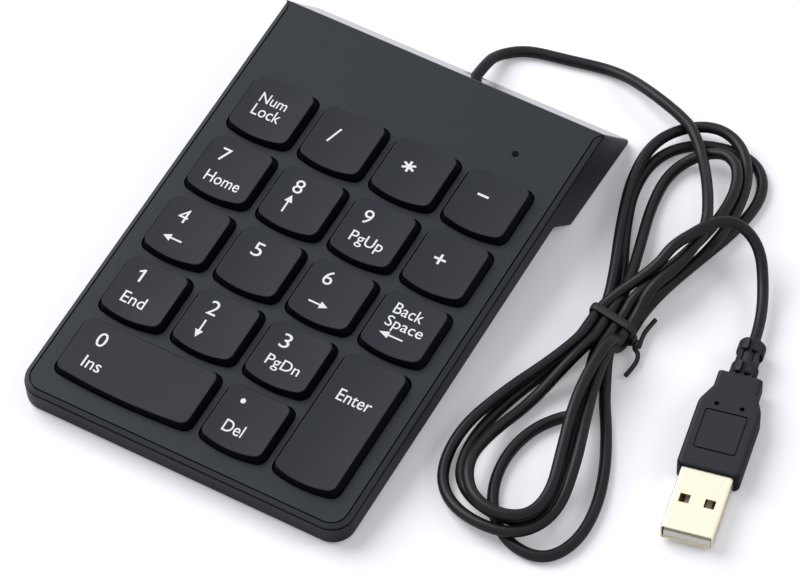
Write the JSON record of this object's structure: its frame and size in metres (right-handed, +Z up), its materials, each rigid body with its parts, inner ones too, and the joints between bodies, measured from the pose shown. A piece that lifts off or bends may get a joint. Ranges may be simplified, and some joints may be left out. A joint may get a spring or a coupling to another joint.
{
  "type": "numeric keypad",
  "caption": "Slim wired numeric keypad with sloping deck, low dished keys on rubber domes, and a thin lead tied in a hank that ends in a flat rectangular plug.",
  "frame": {"origin": "desk level under the middle of the keypad's case", "axes": "+X to the user's right, +Y from the front edge to the rear edge, +Z up"},
  "size_m": [0.1561, 0.1525, 0.0176],
  "materials": {
    "key_plastic": "fine matt texture",
    "deck_plastic": "fine matt texture",
    "case_plastic": "satin black",
    "dome_rubber": "matt translucent silicone",
    "film": "clear polyester with printed tracks",
    "plated_steel": "zinc plated",
    "board": "green solder mask",
    "chip": "moulded epoxy",
    "led": "clear lens",
    "clear_plastic": "smoked clear",
    "screw_steel": "zinc plated",
    "foot_rubber": "matt",
    "cord_jacket": "smooth PVC jacket",
    "core_insulation": "red, white, green and black PVC",
    "tie_coat": "coated wire",
    "plug_rubber": "fine matt moulding",
    "plated_shell": "bright nickel plated",
    "tongue_plastic": "moulded",
    "contact_gold": "gold plated"
  },
  "bodies": {
    "case": {"face_plate": "deck_plastic", "upper_case": "case_plastic", "lower_case": "case_plastic", "dome_mat": "dome_rubber", "film_bottom": "film", "film_spacer": "film", "film_top": "film", "backing_plate": "plated_steel", "circuit_board": "board", "tail_clamp": "plated_steel", "controller_chip": "chip", "status_led": "led", "light_guide": "clear_plastic", "case_screws": "screw_steel", "clamp_screws": "screw_steel", "front_feet": "foot_rubber", "rear_feet": "foot_rubber", "cable_grommet": "cord_jacket", "cable_cores": "core_insulation", "cable_lead": "cord_jacket", "cable_hank": "cord_jacket", "cable_plug_lead": "cord_jacket", "twist_tie": "tie_coat", "plug_grip": "plug_rubber", "plug_shell": "plated_shell", "plug_tongue": "tongue_plastic", "plug_contacts": "contact_gold"},
    "key_num_lock": {"key_num_lock": "key_plastic"},
    "key_divide": {"key_divide": "key_plastic"},
    "key_multiply": {"key_multiply": "key_plastic"},
    "key_minus": {"key_minus": "key_plastic"},
    "key_7": {"key_7": "key_plastic"},
    "key_8": {"key_8": "key_plastic"},
    "key_9": {"key_9": "key_plastic"},
    "key_plus": {"key_plus": "key_plastic"},
    "key_4": {"key_4": "key_plastic"},
    "key_5": {"key_5": "key_plastic"},
    "key_6": {"key_6": "key_plastic"},
    "key_backspace": {"key_backspace": "key_plastic"},
    "key_1": {"key_1": "key_plastic"},
    "key_2": {"key_2": "key_plastic"},
    "key_3": {"key_3": "key_plastic"},
    "key_enter": {"key_enter": "key_plastic"},
    "key_0": {"key_0": "key_plastic"},
    "key_decimal": {"key_decimal": "key_plastic"},
    "stabiliser_0": {"stabiliser_0": "screw_steel"},
    "stabiliser_enter": {"stabiliser_enter": "screw_steel"}
  },
  "joints": [
    {"name": "key_num_lock_press", "type": "slide", "parent": "case", "child": "key_num_lock", "axis": [0, 0.0872, -0.9962], "range_m": [0, 0.0018], "stiffness_N_per_m": 250, "springref_m": -0.0018, "deforming": ["dome_mat"]},
    {"name": "key_divide_press", "type": "slide", "parent": "case", "child": "key_divide", "axis": [0, 0.0872, -0.9962], "range_m": [0, 0.0018], "stiffness_N_per_m": 250, "springref_m": -0.0018, "deforming": ["dome_mat"]},
    {"name": "key_multiply_press", "type": "slide", "parent": "case", "child": "key_multiply", "axis": [0, 0.0872, -0.9962], "range_m": [0, 0.0018], "stiffness_N_per_m": 250, "springref_m": -0.0018, "deforming": ["dome_mat"]},
    {"name": "key_minus_press", "type": "slide", "parent": "case", "child": "key_minus", "axis": [0, 0.0872, -0.9962], "range_m": [0, 0.0018], "stiffness_N_per_m": 250, "springref_m": -0.0018, "deforming": ["dome_mat"]},
    {"name": "key_7_press", "type": "slide", "parent": "case", "child": "key_7", "axis": [0, 0.0872, -0.9962], "range_m": [0, 0.0018], "stiffness_N_per_m": 250, "springref_m": -0.0018, "deforming": ["dome_mat"]},
    {"name": "key_8_press", "type": "slide", "parent": "case", "child": "key_8", "axis": [0, 0.0872, -0.9962], "range_m": [0, 0.0018], "stiffness_N_per_m": 250, "springref_m": -0.0018, "deforming": ["dome_mat"]},
    {"name": "key_9_press", "type": "slide", "parent": "case", "child": "key_9", "axis": [0, 0.0872, -0.9962], "range_m": [0, 0.0018], "stiffness_N_per_m": 250, "springref_m": -0.0018, "deforming": ["dome_mat"]},
    {"name": "key_plus_press", "type": "slide", "parent": "case", "child": "key_plus", "axis": [0, 0.0872, -0.9962], "range_m": [0, 0.0018], "stiffness_N_per_m": 250, "springref_m": -0.0018, "deforming": ["dome_mat"]},
    {"name": "key_4_press", "type": "slide", "parent": "case", "child": "key_4", "axis": [0, 0.0872, -0.9962], "range_m": [0, 0.0018], "stiffness_N_per_m": 250, "springref_m": -0.0018, "deforming": ["dome_mat"]},
    {"name": "key_5_press", "type": "slide", "parent": "case", "child": "key_5", "axis": [0, 0.0872, -0.9962], "range_m": [0, 0.0018], "stiffness_N_per_m": 250, "springref_m": -0.0018, "deforming": ["dome_mat"]},
    {"name": "key_6_press", "type": "slide", "parent": "case", "child": "key_6", "axis": [0, 0.0872, -0.9962], "range_m": [0, 0.0018], "stiffness_N_per_m": 250, "springref_m": -0.0018, "deforming": ["dome_mat"]},
    {"name": "key_backspace_press", "type": "slide", "parent": "case", "child": "key_backspace", "axis": [0, 0.0872, -0.9962], "range_m": [0, 0.0018], "stiffness_N_per_m": 250, "springref_m": -0.0018, "deforming": ["dome_mat"]},
    {"name": "key_1_press", "type": "slide", "parent": "case", "child": "key_1", "axis": [0, 0.0872, -0.9962], "range_m": [0, 0.0018], "stiffness_N_per_m": 250, "springref_m": -0.0018, "deforming": ["dome_mat"]},
    {"name": "key_2_press", "type": "slide", "parent": "case", "child": "key_2", "axis": [0, 0.0872, -0.9962], "range_m": [0, 0.0018], "stiffness_N_per_m": 250, "springref_m": -0.0018, "deforming": ["dome_mat"]},
    {"name": "key_3_press", "type": "slide", "parent": "case", "child": "key_3", "axis": [0, 0.0872, -0.9962], "range_m": [0, 0.0018], "stiffness_N_per_m": 250, "springref_m": -0.0018, "deforming": ["dome_mat"]},
    {"name": "key_enter_press", "type": "slide", "parent": "case", "child": "key_enter", "axis": [0, 0.0872, -0.9962], "range_m": [0, 0.0018], "stiffness_N_per_m": 250, "springref_m": -0.0018, "deforming": ["dome_mat"]},
    {"name": "key_0_press", "type": "slide", "parent": "case", "child": "key_0", "axis": [0, 0.0872, -0.9962], "range_m": [0, 0.0018], "stiffness_N_per_m": 250, "springref_m": -0.0018, "deforming": ["dome_mat"]},
    {"name": "key_decimal_press", "type": "slide", "parent": "case", "child": "key_decimal", "axis": [0, 0.0872, -0.9962], "range_m": [0, 0.0018], "stiffness_N_per_m": 250, "springref_m": -0.0018, "deforming": ["dome_mat"]},
    {"name": "stabiliser_0_swing", "type": "hinge", "parent": "case", "child": "stabiliser_0", "pos_m": [-0.019, -0.05787, 0.00588], "axis": [1, 0, 0], "range_deg": [-18.4, 0.4]},
    {"name": "stabiliser_enter_swing", "type": "hinge", "parent": "case", "child": "stabiliser_enter", "pos_m": [0.0342, -0.04273, 0.0072], "axis": [0, 0.9962, 0.0872], "range_deg": [-18.4, 0.4]}
  ],
  "couplings": [
    {"joint": "stabiliser_0_swing", "follows": "key_0_press", "rad_per_m": -167.3},
    {"joint": "stabiliser_enter_swing", "follows": "key_enter_press", "rad_per_m": -167.3}
  ]
}
